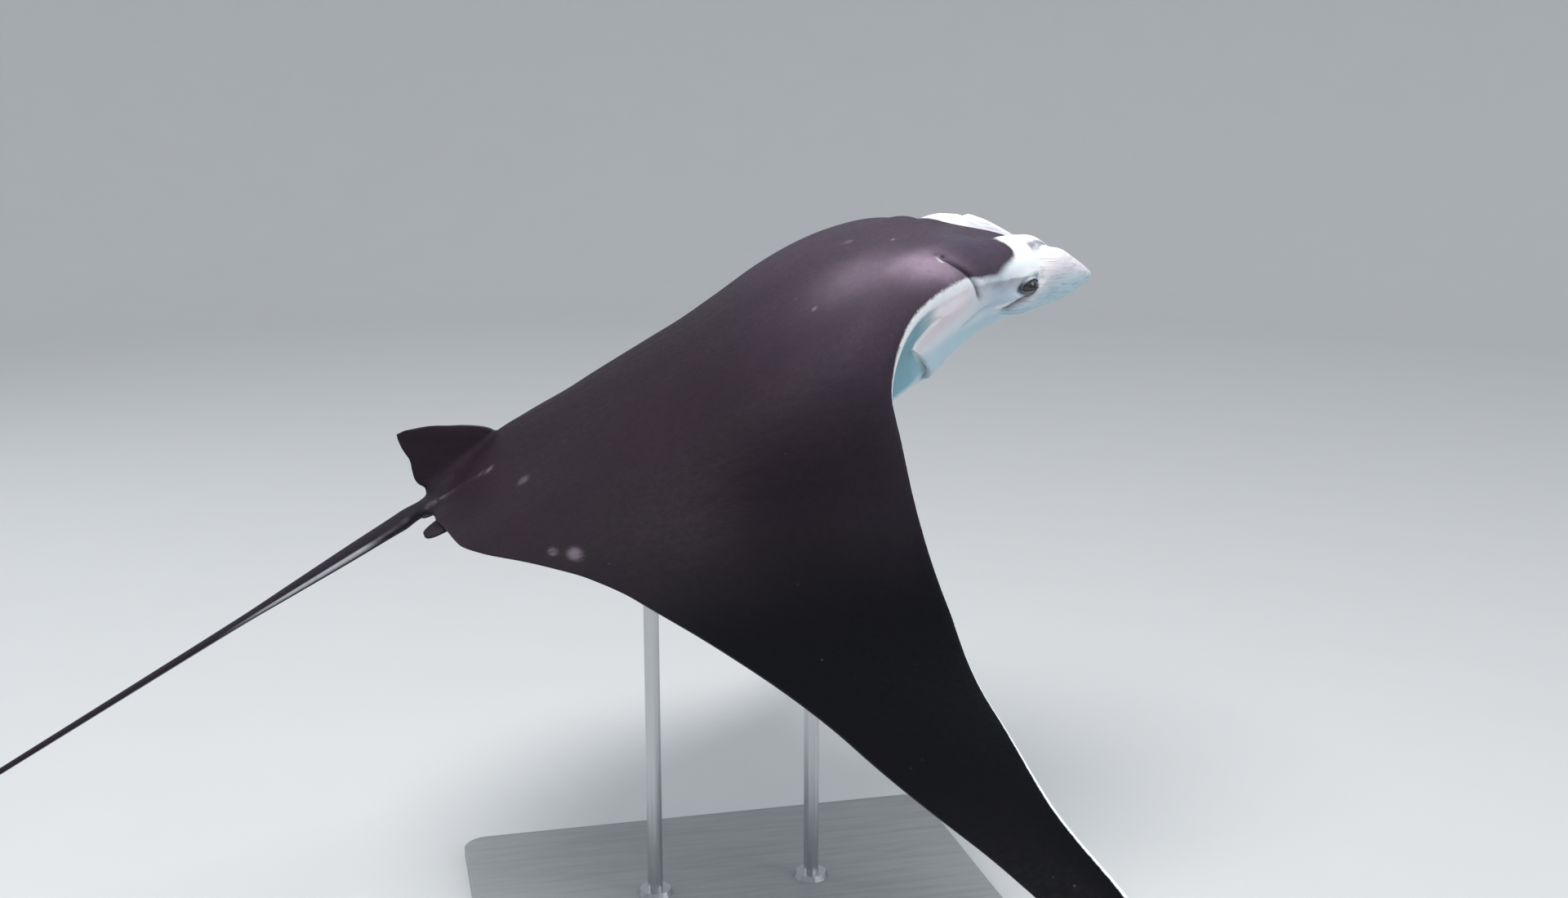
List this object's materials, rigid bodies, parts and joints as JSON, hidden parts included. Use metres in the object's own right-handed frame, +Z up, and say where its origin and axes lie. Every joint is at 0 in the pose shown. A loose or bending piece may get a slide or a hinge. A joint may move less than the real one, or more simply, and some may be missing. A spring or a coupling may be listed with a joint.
{
  "type": "manta ray",
  "caption": "Manta ray climbing on a wing downstroke: broad flat body, drooped pointed wings, curled head fins, whip tail, held over a flat base by upright rods.",
  "frame": {"origin": "centre of the stand base's underside, on the floor", "axes": "+X towards the head end, +Y to the animal's left, +Z up from the floor"},
  "size_m": [3.0675, 2.9262, 1.7155],
  "materials": {
    "skin": "moist fine-grained hide, dark purplish brown above with pale head and shoulder patches, white below",
    "eye": "wet and glossy, near black",
    "base_board": "painted flat grey",
    "rod_steel": "satin"
  },
  "bodies": {
    "root": {"head": "skin", "trunk": "skin", "wing_left": "skin", "wing_right": "skin", "head_fin_left": "skin", "head_fin_right": "skin", "pelvic_fin_left": "skin", "pelvic_fin_right": "skin", "dorsal_fin": "skin", "tail_base": "skin", "tail_middle": "skin", "tail_tip": "skin", "eye_left": "eye", "eye_right": "eye", "stand_base": "base_board", "stand_rod_front": "rod_steel", "stand_rod_rear": "rod_steel"}
  },
  "joints": []
}
